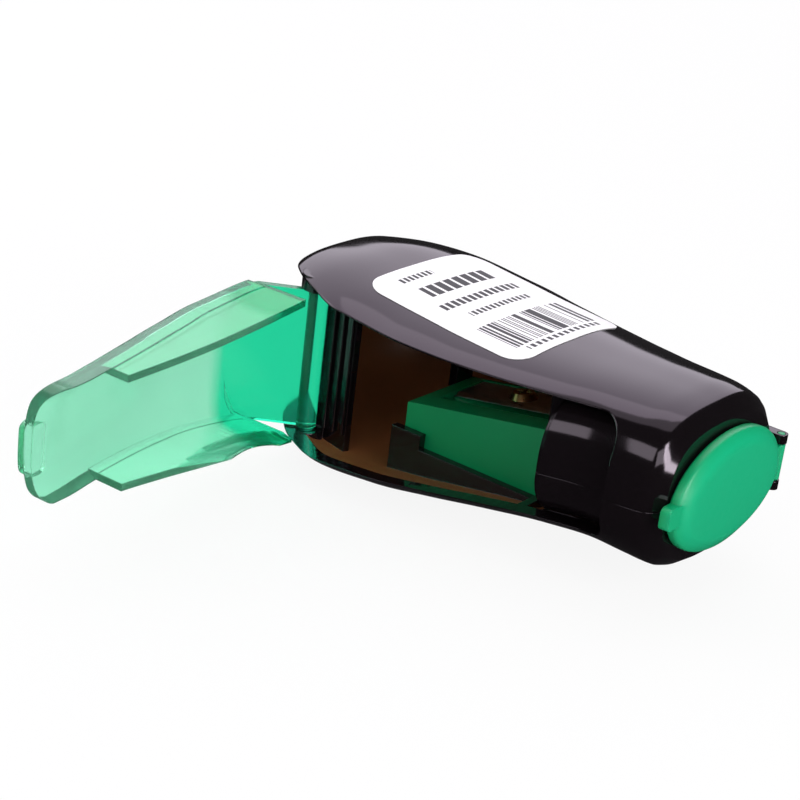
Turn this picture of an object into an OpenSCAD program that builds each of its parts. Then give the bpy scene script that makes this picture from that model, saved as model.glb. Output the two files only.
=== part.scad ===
// Hand-held pencil sharpener with a hinged shavings door and a flip cap.
// X runs along the pencil towards the nose, Y across, Z up. The origin is the
// centre of the pencil hole at the face of the sharpening block.

/* [Body] */
// Length of the body, tail to nose face
body_length = 82.5; // [72:0.5:98]
// Greatest width of the body
body_width = 56.8; // [50:0.2:66]
// Height of the body above the seam
body_top = 18; // [16:0.1:21]
// Depth of the body below the seam
body_bottom = 17.1; // [15.5:0.1:20]
// Wall of the two half shells
wall = 1.6; // [1.2:0.1:2.2]
// Joint gap between the half shells
seam_gap = 0.1; // [0.05:0.05:0.3]

/* [Door] */
// Distance from the tail to the hinge axis
hinge_from_tail = 12.5; // [11:0.5:15]
// Distance from the middle plane to the hinge axis
hinge_side = 14.5; // [13:0.5:15.5]
// Angle that the door stands open
door_open = 88; // [60:1:100]
// Wall of the door
door_wall = 1.5; // [1.2:0.1:2]
// Clearance all round the closed door
door_gap = 0.35; // [0.3:0.05:0.6]
// Width of the wall that carries the hinge
post_w = 7; // [6:0.5:9]
// Depth of the rim that stiffens the door
rim_depth = 5.5; // [4:0.5:7]
// Length of the rebate that the door tip closes on
rebate_w = 11.5; // [9:0.5:13]
// Distance from the hinge axis to the tip end of the opening
opening_reach = 61.2; // [57:0.2:61.6]
// Radius of the door's hinge pins
pin_r = 1.2; // [1:0.05:1.5]
// Running clearance of a hinge pin in its hole
pin_play = 0.06; // [0.03:0.01:0.1]

/* [Sharpening block] */
// Length of the block
block_l = 28; // [25:0.5:30]
// Width of the block
block_w = 18; // [16:0.5:20]
// Height of the block at the pencil end
block_h = 12; // [11:0.2:14]
// Height of the block at the narrow end
block_tip_h = 7.1; // [6:0.1:8]
// Radius of the pencil hole
pencil_r = 4.1; // [3.8:0.1:4.4]
// Depth of the straight part of the pencil hole
guide_l = 4.2; // [3.5:0.1:5]
// Distance of the pencil axis below the seam
pencil_drop = 3.2; // [2.5:0.1:4]
// Distance from the nose face back to the block
block_setback = 25.4; // [24:0.2:28]
// Length of the blade
blade_l = 22.6; // [20:0.2:24]
// Width of the blade
blade_w = 8.2; // [7:0.1:9]
// Thickness of the blade
blade_t = 0.6; // [0.5:0.1:1]
// Radius of the blade screw's head
screw_head_r = 2.4; // [2:0.1:2.8]

/* [Cap] */
// Width of the flip cap
cap_w = 31; // [28:0.5:32]
// Height of the flip cap
cap_h = 19.4; // [18:0.2:20.4]
// Thickness of the flip cap
cap_t = 3.1; // [2.4:0.1:4]
// Gap between the cap and the nose face
cap_gap = 0.3; // [0.2:0.05:0.5]
// Radius of the cap's hinge pins
cap_pin_r = 0.6; // [0.5:0.05:0.8]

/* [Label] */
// Length of the label along the body
label_l = 32; // [26:0.5:34]
// Width of the label across the body
label_w = 30; // [24:0.5:34]
// Distance from the hinge axis to the middle of the label
label_x = 25.1; // [23:0.1:27]

/* [Hidden] */
$fn = 48;
eps = 0.01;

// Shape of the body. Each row is a share of the length from the tail, then
// shares of the half width, of the height above and of the depth below the seam.
SHAPE = [
    [0, 0.035, 0.055, 0.058], [0.006, 0.28, 0.47, 0.44], [0.036, 0.53, 0.82, 0.70],
    [0.091, 0.715, 0.967, 0.854], [0.176, 0.894, 1, 0.965], [0.273, 1, 0.967, 1],
    [0.394, 1, 0.9, 0.942], [0.515, 0.944, 0.845, 0.854], [0.636, 0.856, 0.817, 0.766],
    [0.758, 0.757, 0.806, 0.702], [0.842, 0.69, 0.806, 0.69], [0.921, 0.662, 0.794, 0.725],
    [0.97, 0.634, 0.744, 0.749], [1, 0.542, 0.622, 0.655]];
far_power = 2.5;
door_power = 3.2;
ring_points = 48;
tail_rings = 5;
body_rings = 15;

nose_x = body_length - hinge_from_tail;
block_x = nose_x - block_setback;

// A smooth curve through one column of SHAPE.
function rate(k, i) = (SHAPE[i + 1][k] - SHAPE[i][k]) / (SHAPE[i + 1][0] - SHAPE[i][0]);
function lean(k, i) =
    i == 0 ? rate(k, 0) :
    i == len(SHAPE) - 1 ? rate(k, i - 1) :
    let (a = rate(k, i - 1), b = rate(k, i)) a * b <= 0 ? 0 : 2 * a * b / (a + b);
function row_at(u, i = 0) = i >= len(SHAPE) - 2 || u < SHAPE[i + 1][0] ? i : row_at(u, i + 1);
function shape_at(k, u) =
    let (i = row_at(u), h = SHAPE[i + 1][0] - SHAPE[i][0], s = (u - SHAPE[i][0]) / h)
    (1 + 2 * s) * pow(1 - s, 2) * SHAPE[i][k] + s * pow(1 - s, 2) * h * lean(k, i)
    + s * s * (3 - 2 * s) * SHAPE[i + 1][k] + s * s * (s - 1) * h * lean(k, i + 1);

function share_of(x) = min(1, max(0, (x + hinge_from_tail) / body_length));
function half_width(x) = body_width / 2 * shape_at(1, share_of(x));
function top_at(x) = body_top * shape_at(2, share_of(x));
function bottom_at(x) = body_bottom * shape_at(3, share_of(x));

// Height of the opening's two edges, seen from the side.
function lip_top(x) = top_at(x) * (0.82 + 0.03 * exp(-pow(max(x, 0) / 7, 2)));
function lip_bottom(x) = -0.64 * bottom_at(x) - 1.2 * exp(-pow(max(x, 0) / 9, 2));

function bow(c, power) = sign(c) * pow(abs(c), 2 / power);
function section(w, up, down) = [for (i = [0 : ring_points - 1])
    let (a = 360 * i / ring_points, c = cos(a), s = sin(a),
        power = c < 0 && s > 0 ? door_power : far_power)
    [w * bow(c, power), (s >= 0 ? up : down) * bow(s, power)]];

// Ring places along the body as shares of its length, closer at the tail.
tail_share = 0.16;
tail_flat = 3;
RINGS = concat([for (i = [0 : tail_rings - 1]) tail_share * (1 - cos(90 * i / tail_rings))],
    [for (i = [0 : body_rings]) tail_share + (1 - tail_share) * sin(90 * i / body_rings)]);

// The solid body, taken in by inset on every side.
module body(inset = 0) {
    places = [for (u = RINGS)
        [-hinge_from_tail + inset + u * (body_length - 2 * inset), u]];
    rings = [for (p = places)
        let (w = max(tail_flat, body_width / 2 * shape_at(1, p[1]) - inset),
            up = max(tail_flat, body_top * shape_at(2, p[1]) - inset),
            down = max(tail_flat, body_bottom * shape_at(3, p[1]) - inset))
        [for (q = section(w, up, down)) [p[0], q[0], q[1]]]];
    n = ring_points;
    last = len(rings) - 1;
    points = [for (r = rings) each r];
    sides = [for (j = [0 : last - 1]) for (i = [0 : n - 1])
        let (a = j * n + i, b = j * n + (i + 1) % n)
        each [[a, a + n, b], [b, a + n, b + n]]];
    tail_face = [for (i = [1 : n - 2]) [0, i, i + 1]];
    nose_face = [for (i = [1 : n - 2]) [last * n, last * n + i + 1, last * n + i]];
    polyhedron(points, concat(sides, tail_face, nose_face), convexity = 6);
}
module placed() translate([-block_x, 0, pencil_drop]) children();

// One mesh from many curved pieces.
module shaped() resize([0, 0, 0]) children();

// Everything seen from the side: an outline in X and Z, thickened along Y.
module side_prism(near, far) translate([0, far, 0]) rotate([90, 0, 0])
    linear_extrude(far - near) children();

// An outline in Y and Z, thickened along X.
module end_prism(from, length) translate([from, 0, 0]) rotate([90, 0, 90])
    linear_extrude(length) children();

far_out = 120;
tip_top_r = 4;
tip_low_r = 2.5;
lip_steps = 24;

// Outline of the opening, larger by grow all round.
function lip_x(i, r) = (opening_reach - r) * i / lip_steps;
function opening_points(grow, start) = concat(
    [[start, lip_top(0) + grow]],
    [for (i = [0 : lip_steps]) let (x = lip_x(i, tip_top_r)) if (x > start) [x, lip_top(x) + grow]],
    [for (a = [15 : 15 : 90]) [opening_reach - tip_top_r + (tip_top_r + grow) * sin(a),
        lip_top(opening_reach - tip_top_r) - tip_top_r + (tip_top_r + grow) * cos(a)]],
    [for (a = [0 : 18 : 90]) [opening_reach - tip_low_r + (tip_low_r + grow) * cos(a),
        lip_bottom(opening_reach - tip_low_r) + tip_low_r - (tip_low_r + grow) * sin(a)]],
    [for (i = [lip_steps : -1 : 0]) let (x = lip_x(i, tip_low_r)) if (x > start) [x, lip_bottom(x) - grow]],
    [[start, lip_bottom(0) - grow]]);

// The side walls that carry the hinge: one beside it and one back to the tail.
pin_room = 2;
post_t = 1.5;
post_front = -hinge_side + pin_room;
slant = 52;
tail_wall_l = 20;
corner_lap = 0.8;
module post_walls() {
    translate([-pin_room / 2, post_front, 0]) square([post_w + pin_room / 2, post_t]);
    translate([-pin_room / 2, post_front, 0]) rotate(180 - slant)
        translate([0, -post_t, 0]) square([tail_wall_l, post_t]);
}
module corner_plan() polygon([[-far_out, -far_out], [corner_lap, -far_out], [corner_lap, post_front],
    [-pin_room / 2, post_front],
    [-pin_room / 2 - tail_wall_l * cos(slant), post_front + tail_wall_l * sin(slant)],
    [-far_out, post_front + tail_wall_l * sin(slant)]]);

roof_z = lip_top(0) + 0.05;
floor_z = lip_bottom(0) - 0.05;
web_t = 1.3;
boss_r = 3;
seat_gap = 0.15;
cradle_t = 1.5;
boss_z = roof_z - 2;
side_cut_y = -(block_w / 2 + seat_gap + cradle_t + 0.4);
rebate_x = opening_reach - rebate_w;
rebate_depth = door_wall + door_gap;

module oval(w, h) polygon([for (a = [0 : 6 : 354]) [w / 2 * cos(a), h / 2 * sin(a)]]);

// Mouth under the cap, with the tunnel that leads to the block.
rim_w = 1.6;
mouth_depth = 1.8;
tunnel_r = 5;
tunnel_wall = 1.4;
bulkhead_x = block_x + 0.25;
module mouth_plan() oval(cap_w - 2 * rim_w, cap_h - 2 * rim_w);
module tunnel(r, from, to) translate([from, 0, -pencil_drop]) rotate([0, 90, 0])
    cylinder(r = r, h = to - from);

// Cap hinge, at the far end of the cap.
cap_x = nose_x + cap_gap;
cap_hinge_y = cap_w / 2 + 0.7;
cap_hinge_x = cap_x + 1;
cap_knuckle_r = 1;
cap_knuckle_h = 6;
ear_gap = 0.25;
ear_t = 1.5;
ear_back = 4.2;
ear_half = 1.1;
module cap_ears() for (side = [-1, 1])
    translate([cap_hinge_x, cap_hinge_y, side * (cap_knuckle_h / 2 + ear_gap + ear_t / 2) - ear_t / 2])
        linear_extrude(ear_t) {
            circle(ear_half);
            translate([-ear_back, -ear_half]) square([ear_back, 2 * ear_half]);
        }
module cap_pin_holes() for (side = [-1, 1])
    translate([cap_hinge_x, cap_hinge_y, side * (cap_knuckle_h / 2 + ear_gap + ear_t / 2) - ear_t])
        cylinder(r = cap_pin_r + pin_play, h = 2 * ear_t);

// Block seat.
block_tip_x = block_x - block_l;
block_top_z = -pencil_drop + pencil_r + 1.4;
block_low_z = block_top_z - block_h;
cradle_post_w = 6;
cradle_rise = 0.4;
cradle_post_rise = 2.9;
rib_t = 1.6;
deep = 20;
module cradle() {
    side_y = block_w / 2 + seat_gap;
    for (side = [-1, 1]) {
        y = side < 0 ? -side_y - cradle_t : side_y;
        translate([block_tip_x - 1.5, y, block_low_z + cradle_rise - deep])
            cube([bulkhead_x + eps - block_tip_x + 1.5, cradle_t, deep]);
        translate([block_tip_x - 1.5, y, block_low_z + cradle_post_rise - deep])
            cube([cradle_post_w, cradle_t, deep]);
    }
    for (i = [1 : 3])
        translate([block_tip_x + i * block_l / 4 - rib_t / 2, -side_y, block_low_z - seat_gap - deep])
            cube([rib_t, 2 * side_y, deep]);
    translate([block_tip_x - seat_gap - rib_t, -block_w / 4, block_low_z + block_tip_h / 2 - deep])
        cube([rib_t, block_w / 2, deep]);
}
module keeper() translate([block_tip_x - seat_gap - rib_t, block_w / 4, block_low_z + block_tip_h - 1])
    cube([rib_t, block_w / 4, deep + 5]);

// Wall behind the block. It steps back to the rebate beside the opening.
module bulkhead() {
    difference() {
        end_prism(bulkhead_x, post_t) square(far_out, center = true);
        side_prism(-far_out, side_cut_y + 0.4) polygon(opening_points(0.17, 0));
    }
    difference() {
        union() {
            translate([bulkhead_x + 0.1, side_cut_y + 0.45, -far_out / 2])
                cube([rebate_x + 0.8 - bulkhead_x, post_t, far_out]);
            translate([rebate_x - 0.55, -far_out, -far_out / 2])
                cube([post_t, far_out + side_cut_y + 1, far_out]);
        }
        difference() {
            side_prism(-far_out, side_cut_y + 0.35) polygon(opening_points(0.13, 0));
            body(rebate_depth + 0.4);
        }
    }
}

// Both half shells as one, before they are parted at the seam.
module casing() {
    difference() {
        body();
        body(wall);
        side_prism(-far_out, side_cut_y) polygon(opening_points(0, 0));
        translate([0, 0, floor_z]) linear_extrude(roof_z - floor_z) corner_plan();
        end_prism(nose_x - mouth_depth, mouth_depth + 1) mouth_plan();
    }
    intersection() {
        body(wall / 2);
        union() {
            translate([0, 0, -far_out / 2]) linear_extrude(far_out) post_walls();
            translate([0, 0, roof_z]) linear_extrude(web_t) corner_plan();
            translate([0, 0, floor_z - web_t]) linear_extrude(web_t) corner_plan();
            bulkhead();
            end_prism(nose_x - mouth_depth - post_t, post_t) square(far_out, center = true);
            tunnel(tunnel_r + tunnel_wall, bulkhead_x, nose_x - mouth_depth);
        }
    }
    intersection() {
        difference() {
            body(rebate_depth);
            body(rebate_depth + post_t);
        }
        side_prism(-far_out, side_cut_y) intersection() {
            polygon(opening_points(rebate_depth, 0));
            translate([rebate_x, -far_out / 2]) square([far_out, far_out]);
        }
    }
    intersection() {
        difference() {
            body(wall / 2);
            body(rebate_depth + post_t);
        }
        side_prism(-far_out, side_cut_y) intersection() {
            difference() {
                polygon(opening_points(post_t, 0));
                polygon(opening_points(0.04, 0));
            }
            translate([rebate_x - 0.7, -far_out / 2]) square([far_out, far_out]);
        }
    }
    cap_ears();
}

module above_seam() translate([-far_out, -far_out, seam_gap / 2]) cube(2 * far_out);
module below_seam() translate([-far_out, -far_out, -seam_gap / 2 - 2 * far_out]) cube(2 * far_out);

module upper_shell() color("#17141c") placed() difference() {
    union() {
        shaped() union() {
            intersection() {
                casing();
                above_seam();
            }
            intersection() {
                body(wall / 2);
                keeper();
            }
        }
        translate([0, -hinge_side, boss_z]) cylinder(r = boss_r, h = roof_z - boss_z + web_t / 2);
    }
    translate([0, -hinge_side, boss_z - 1]) cylinder(r = pin_r + pin_play, h = roof_z - boss_z + 1);
    tunnel(tunnel_r, block_x, nose_x);
    cap_pin_holes();
}

pin_floor = 1.4;
module lower_shell() color("#17141c") placed() difference() {
    union() {
        shaped() union() {
            intersection() {
                casing();
                below_seam();
            }
            intersection() {
                body(wall / 2);
                cradle();
            }
        }
        intersection() {
            translate([0, -hinge_side, floor_z - 2 * pin_floor]) cylinder(r = boss_r, h = 2 * pin_floor);
            shaped() body(wall / 3);
        }
    }
    translate([0, -hinge_side, floor_z - pin_floor]) cylinder(r = pin_r + pin_play, h = pin_floor + 1);
    tunnel(tunnel_r, block_x, nose_x);
    cap_pin_holes();
}

// Door, modelled shut and then turned open about its hinge.
plate_angle = -56.5;
plate_l = 16.2;
plate_far_x = plate_l * cos(plate_angle);
knuckle_r = 1.7;
door_low = floor_z + door_gap;
door_high = boss_z - door_gap;
rim_t = 1.3;
nub_w = 3.6;
nub_h = 8.4;
nub_rise = 1.2;

module door_side(grow) side_prism(-far_out, side_cut_y) intersection() {
    polygon(opening_points(grow, 0));
    translate([plate_far_x - 0.4, -far_out / 2]) square([far_out * 2, far_out]);
}
module door_rim_plan() intersection() {
    difference() {
        polygon(opening_points(-door_gap - 0.1, 0));
        polygon(opening_points(-door_gap - rim_t, 0));
    }
    translate([plate_far_x - 1, -far_out / 2])
        square([rebate_x - 1 - plate_far_x + 1 - door_gap, far_out]);
}
module door_shut() {
    intersection() {
        difference() {
            body();
            body(door_wall);
        }
        door_side(-door_gap);
    }
    intersection() {
        difference() {
            body(door_wall / 2);
            body(rim_depth);
        }
        side_prism(-far_out, side_cut_y) door_rim_plan();
    }
    intersection() {
        body(eps);
        translate([0, -hinge_side, door_low]) rotate(plate_angle)
            translate([0, -door_wall / 2, 0]) cube([plate_l + 2, door_wall, door_high - door_low]);
    }
    intersection() {
        difference() {
            body(-nub_rise);
            body(door_wall / 2);
        }
        side_prism(-far_out, side_cut_y) translate([opening_reach - door_gap - 0.2 - nub_w, -nub_h / 2])
            square([nub_w, nub_h]);
    }
}

module shavings_door() color("#19c08a", 0.6) placed()
    translate([0, -hinge_side, 0]) rotate(-door_open) translate([0, hinge_side, 0]) {
        shaped() door_shut();
        translate([0, -hinge_side, door_low]) cylinder(r = knuckle_r, h = door_high - door_low);
        translate([0, -hinge_side, floor_z - pin_floor + 0.2])
            cylinder(r = pin_r, h = roof_z - floor_z + pin_floor - 0.5);
    }

// Sharpening block: a wedge whose sloping face lies along the side of the cone.
slope = (block_h - block_tip_h) / block_l;
slope_angle = atan(slope);
lead_r = 0.35;
blade_drop = 0.8;
// The cone's top line runs just above the blade's cutting edge.
edge_bite = 0.08;
cone_r = min(pencil_r - 0.05,
    pencil_r + 1.4 - slope * guide_l - blade_drop / cos(slope_angle) + edge_bite);
slot_w = 4.2;
slot_depth = 2.2;
screw_y = blade_w / 2 - 0.2;
screw_r = 1.2;
screw_depth = 5;

// Places a child on the sloping face, halfway along it.
module on_slope(sink) translate([block_x - block_l / 2, 0, block_top_z - slope * block_l / 2])
    rotate([0, -slope_angle, 0]) translate([0, 0, -sink]) children();

module sharpener_block() color("#0a8f5c") placed() difference() {
    translate([0, block_w / 2, 0]) rotate([90, 0, 0]) linear_extrude(block_w)
        polygon([[block_x, block_low_z], [block_x, block_top_z],
            [block_tip_x, block_low_z + block_tip_h], [block_tip_x, block_low_z]]);
    tunnel(pencil_r, block_x - guide_l, block_x + 1);
    translate([block_x - guide_l + eps, 0, -pencil_drop]) rotate([0, -90, 0])
        cylinder(r1 = cone_r, r2 = lead_r, h = (cone_r - lead_r) / slope);
    tunnel(lead_r, block_tip_x - 1, block_x - guide_l);
    on_slope(blade_drop) translate([-blade_l / 2 - seat_gap, -seat_gap, 0])
        cube([blade_l + 2 * seat_gap, blade_w + 2 * seat_gap, deep]);
    on_slope(slot_depth) translate([-blade_l / 2, -slot_w, 0]) cube([blade_l, slot_w + eps, deep]);
    on_slope(screw_depth) translate([0, screw_y, 0]) cylinder(r = screw_r, h = deep);
}

edge_bevel = 1;
edge_t = 0.12;
module blade() color("#8d8f93") placed() on_slope(blade_drop - eps) difference() {
    translate([-blade_l / 2, 0, 0]) rotate([90, 0, 90]) linear_extrude(blade_l)
        polygon([[0, 0], [blade_w, 0], [blade_w, blade_t], [edge_bevel, blade_t], [0, edge_t]]);
    translate([0, screw_y, -1]) cylinder(r = screw_r + 0.15, h = 3);
}

head_h = 1.1;
cross_w = 0.6;
module blade_screw() color("#b9853c") placed() on_slope(blade_drop - blade_t - 2 * eps)
    translate([0, screw_y, 0]) difference() {
        union() {
            cylinder(r1 = screw_head_r, r2 = screw_head_r * 0.75, h = head_h);
            translate([0, 0, -screw_depth + 1]) cylinder(r = screw_r - 0.05, h = screw_depth - 1 + eps);
        }
        for (turn = [0, 90]) rotate(turn)
            translate([-screw_head_r * 0.6, -cross_w / 2, head_h / 2])
                cube([screw_head_r * 1.2, cross_w, head_h]);
    }

// Flip cap.
tab_w = 3.6;
tab_l = 2.4;
plug_gap = 0.4;
plug_t = 1;
plug_in = 1;
cap_edge = cap_t * 0.5;
module entry_cap() color("#12a878") placed() {
    end_prism(cap_x, cap_edge) oval(cap_w, cap_h);
    translate([cap_x + cap_edge - eps, 0, 0]) rotate([90, 0, 90])
        linear_extrude(cap_t - cap_edge, scale = 0.86) oval(cap_w, cap_h);
    difference() {
        end_prism(cap_x - plug_in - cap_gap, plug_in + cap_gap + eps)
            oval(cap_w - 2 * rim_w - 2 * plug_gap, cap_h - 2 * rim_w - 2 * plug_gap);
        end_prism(cap_x - plug_in - cap_gap - 1, plug_in + cap_gap + 1 - eps)
            oval(cap_w - 2 * rim_w - 2 * plug_gap - 2 * plug_t, cap_h - 2 * rim_w - 2 * plug_gap - 2 * plug_t);
    }
    translate([cap_x + 0.2, -cap_w / 2 - tab_l, -tab_w / 2]) cube([cap_t * 0.55, tab_l + 1.5, tab_w]);
    translate([cap_x + 0.2, cap_w / 2 - 1.5, -cap_knuckle_h / 2])
        cube([1.4, cap_hinge_y - cap_w / 2 + 1.5, cap_knuckle_h]);
    translate([cap_hinge_x, cap_hinge_y, -cap_knuckle_h / 2]) cylinder(r = cap_knuckle_r, h = cap_knuckle_h);
    translate([cap_hinge_x, cap_hinge_y, -cap_knuckle_h / 2 - ear_gap - ear_t])
        cylinder(r = cap_pin_r, h = cap_knuckle_h + 2 * (ear_gap + ear_t));
}

// Paper label laid on the roof, in strips along the body.
label_r = 4;
label_t = 0.12;
label_lift = 0.05;
label_rows = 16;
label_cols = 14;
function roof_at(x, y) = top_at(x) * pow(1 - pow(min(1, abs(y) / half_width(x)),
    y < 0 ? door_power : far_power), 1 / (y < 0 ? door_power : far_power));
function label_half(s) = let (over = max(0, abs(s) - label_l / 2 + label_r))
    label_w / 2 - label_r + sqrt(max(0.01, label_r * label_r - over * over));
module label() color("white") placed() {
    n = label_cols + 1;
    sheet = [for (lift = [label_lift, label_lift + label_t]) for (i = [0 : label_rows])
        let (s = label_l / 2 * sin(-90 + 180 * i / label_rows)) for (j = [0 : label_cols])
        let (x = label_x + s, y = label_half(s) * (2 * j / label_cols - 1)) [x, y, roof_at(x, y) + lift]];
    top = n * (label_rows + 1);
    faces = [for (i = [0 : label_rows - 1]) for (j = [0 : label_cols - 1]) let (a = i * n + j)
        each [[a, a + n, a + 1], [a + 1, a + n, a + n + 1],
            [top + a, top + a + 1, top + a + n], [top + a + 1, top + a + n + 1, top + a + n]]];
    ends = [for (j = [0 : label_cols - 1]) let (a = j, b = label_rows * n + j)
        each [[a, a + 1, top + a], [a + 1, top + a + 1, top + a],
            [b, top + b, b + 1], [b + 1, top + b, top + b + 1]]];
    flanks = [for (i = [0 : label_rows - 1]) let (a = i * n, b = i * n + n - 1)
        each [[a, top + a, a + n], [a + n, top + a, top + a + n],
            [b, b + n, top + b], [b + n, top + b + n, top + b]]];
    polyhedron(sheet, concat(faces, ends, flanks));
}

upper_shell();
lower_shell();
shavings_door();
sharpener_block();
blade();
blade_screw();
entry_cap();
label();
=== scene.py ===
from math import pi, sin, cos, radians, exp, copysign
import bpy
import bmesh
from mathutils import Vector, Matrix


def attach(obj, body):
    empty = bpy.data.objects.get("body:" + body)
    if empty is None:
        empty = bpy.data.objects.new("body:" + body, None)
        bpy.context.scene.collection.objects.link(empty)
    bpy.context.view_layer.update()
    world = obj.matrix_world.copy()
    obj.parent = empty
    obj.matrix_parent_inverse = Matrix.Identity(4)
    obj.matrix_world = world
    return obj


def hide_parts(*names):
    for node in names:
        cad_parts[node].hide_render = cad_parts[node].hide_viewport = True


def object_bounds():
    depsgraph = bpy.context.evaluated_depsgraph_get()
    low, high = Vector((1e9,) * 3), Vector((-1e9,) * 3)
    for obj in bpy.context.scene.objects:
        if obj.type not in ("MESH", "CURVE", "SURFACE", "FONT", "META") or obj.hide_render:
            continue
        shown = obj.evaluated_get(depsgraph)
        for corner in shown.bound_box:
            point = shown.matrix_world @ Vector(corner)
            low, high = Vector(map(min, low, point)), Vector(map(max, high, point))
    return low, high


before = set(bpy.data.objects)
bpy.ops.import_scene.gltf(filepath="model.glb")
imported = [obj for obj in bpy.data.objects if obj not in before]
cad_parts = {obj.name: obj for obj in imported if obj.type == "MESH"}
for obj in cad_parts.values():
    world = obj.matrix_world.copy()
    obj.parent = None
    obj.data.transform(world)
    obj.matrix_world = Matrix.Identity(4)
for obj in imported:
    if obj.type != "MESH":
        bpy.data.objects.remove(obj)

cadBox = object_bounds()
print("frame loaded")

# body shape
# Millimetres: x from the door's hinge towards the nose, y from the middle, z from the seam.
body = {
    "length": 82.5, "width": 56.8, "top": 18.0, "bottom": 17.1, "wall": 1.6, "seam": 0.1,
    "hingeFromTail": 12.5, "hingeSide": 14.5, "farPower": 2.5, "doorPower": 3.2,
    "ringPoints": 160, "rings": 110, "insidePoints": 96, "insideRings": 64,
    "tailFlat": 1.2,
    # share of the length from the tail, then of half width, height and depth
    "shape": [
        (0, 0.035, 0.055, 0.058), (0.006, 0.28, 0.47, 0.44), (0.036, 0.53, 0.82, 0.70),
        (0.091, 0.715, 0.967, 0.854), (0.176, 0.894, 1, 0.965), (0.273, 1, 0.967, 1),
        (0.394, 1, 0.9, 0.942), (0.515, 0.944, 0.845, 0.854), (0.636, 0.856, 0.817, 0.766),
        (0.758, 0.757, 0.806, 0.702), (0.842, 0.69, 0.806, 0.69), (0.921, 0.662, 0.794, 0.725),
        (0.97, 0.634, 0.744, 0.749), (1, 0.542, 0.622, 0.655)],
    "blockX": 44.6, "pencilDrop": 3.2,
}
noseX = body["length"] - body["hingeFromTail"]
far = 120.0


def lean(col, i):
    rows = body["shape"]
    rate = lambda k: (rows[k + 1][col] - rows[k][col]) / (rows[k + 1][0] - rows[k][0])
    if i == 0:
        return rate(0)
    if i == len(rows) - 1:
        return rate(i - 1)
    a, b = rate(i - 1), rate(i)
    return 0 if a * b <= 0 else 2 * a * b / (a + b)


def shapeAt(col, u):
    rows = body["shape"]
    i = 0
    while i < len(rows) - 2 and u >= rows[i + 1][0]:
        i += 1
    h = rows[i + 1][0] - rows[i][0]
    s = (u - rows[i][0]) / h
    return ((1 + 2 * s) * (1 - s) ** 2 * rows[i][col] + s * (1 - s) ** 2 * h * lean(col, i)
            + s * s * (3 - 2 * s) * rows[i + 1][col] + s * s * (s - 1) * h * lean(col, i + 1))


def shareOf(x):
    return min(1, max(0, (x + body["hingeFromTail"]) / body["length"]))


def halfWidth(x):
    return body["width"] / 2 * shapeAt(1, shareOf(x))


def topAt(x):
    return body["top"] * shapeAt(2, shareOf(x))


def bottomAt(x):
    return body["bottom"] * shapeAt(3, shareOf(x))


def lipTop(x):
    return topAt(x) * (0.82 + 0.03 * exp(-(max(x, 0) / 7) ** 2))


def lipBottom(x):
    return -0.64 * bottomAt(x) - 1.2 * exp(-(max(x, 0) / 9) ** 2)


def bow(c, power):
    return copysign(abs(c) ** (2 / power), c) if c else 0.0


def roofAt(x, y):
    power = body["doorPower"] if y < 0 else body["farPower"]
    return topAt(x) * (1 - min(1, abs(y) / halfWidth(x)) ** power) ** (1 / power)


# mesh helpers
def place(points):
    return [((x - body["blockX"]) / 1000, y / 1000, (z + body["pencilDrop"]) / 1000) for x, y, z in points]


def meshPiece(name, points, faces, mat=None):
    mesh = bpy.data.meshes.new(name)
    mesh.from_pydata(place(points), [], faces)
    mesh.validate()
    bm = bmesh.new()
    bm.from_mesh(mesh)
    bmesh.ops.recalc_face_normals(bm, faces=bm.faces)
    bm.to_mesh(mesh)
    bm.free()
    piece = bpy.data.objects.new(name, mesh)
    bpy.context.scene.collection.objects.link(piece)
    if mat:
        mesh.materials.append(mat)
    return piece


def bodyLoft(name, inset, points, rings, mat=None):
    ringList = []
    for k in range(rings + 1):
        t = k / rings
        u = 0.5 * (1 - cos(pi * t)) * 0.5 + 0.5 * t ** 2.2  # rings crowd towards the tail
        u = min(1.0, max(0.0, u))
        x = -body["hingeFromTail"] + inset + u * (body["length"] - 2 * inset)
        smallest = body["tailFlat"]
        w = max(smallest, body["width"] / 2 * shapeAt(1, u) - inset)
        up = max(smallest, body["top"] * shapeAt(2, u) - inset)
        down = max(smallest, body["bottom"] * shapeAt(3, u) - inset)
        ring = []
        for i in range(points):
            a = 2 * pi * i / points
            c, s = cos(a), sin(a)
            if abs(c) < 1e-9:
                c = 0.0
            if abs(s) < 1e-9:
                s = 0.0
            power = body["doorPower"] if c < 0 and s > 0 else body["farPower"]
            ring.append((x, w * bow(c, power), (up if s >= 0 else down) * bow(s, power)))
        ringList.append(ring)
    verts = [p for ring in ringList for p in ring]
    faces = []
    for j in range(rings):
        for i in range(points):
            a, b = j * points + i, j * points + (i + 1) % points
            faces.append((a, b, b + points, a + points))
    faces.append(tuple(range(points)))
    faces.append(tuple(rings * points + i for i in range(points)))
    return meshPiece(name, verts, faces, mat)


def prism(name, outline, low, high, axis, mat=None):
    # outline in (x, z) for "y", (x, y) for "z", (y, z) for "x"
    spots = {"y": lambda p, d: (p[0], d, p[1]),
             "z": lambda p, d: (p[0], p[1], d),
             "x": lambda p, d: (d, p[0], p[1])}
    spot = spots[axis]
    n = len(outline)
    verts = [spot(p, low) for p in outline] + [spot(p, high) for p in outline]
    faces = [tuple(range(n)), tuple(range(n, 2 * n))]
    faces += [(i, (i + 1) % n, n + (i + 1) % n, n + i) for i in range(n)]
    return meshPiece(name, verts, faces, mat)


def ringOutline(w, h, steps=96):
    return [(w / 2 * cos(2 * pi * i / steps), h / 2 * sin(2 * pi * i / steps)) for i in range(steps)]


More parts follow.
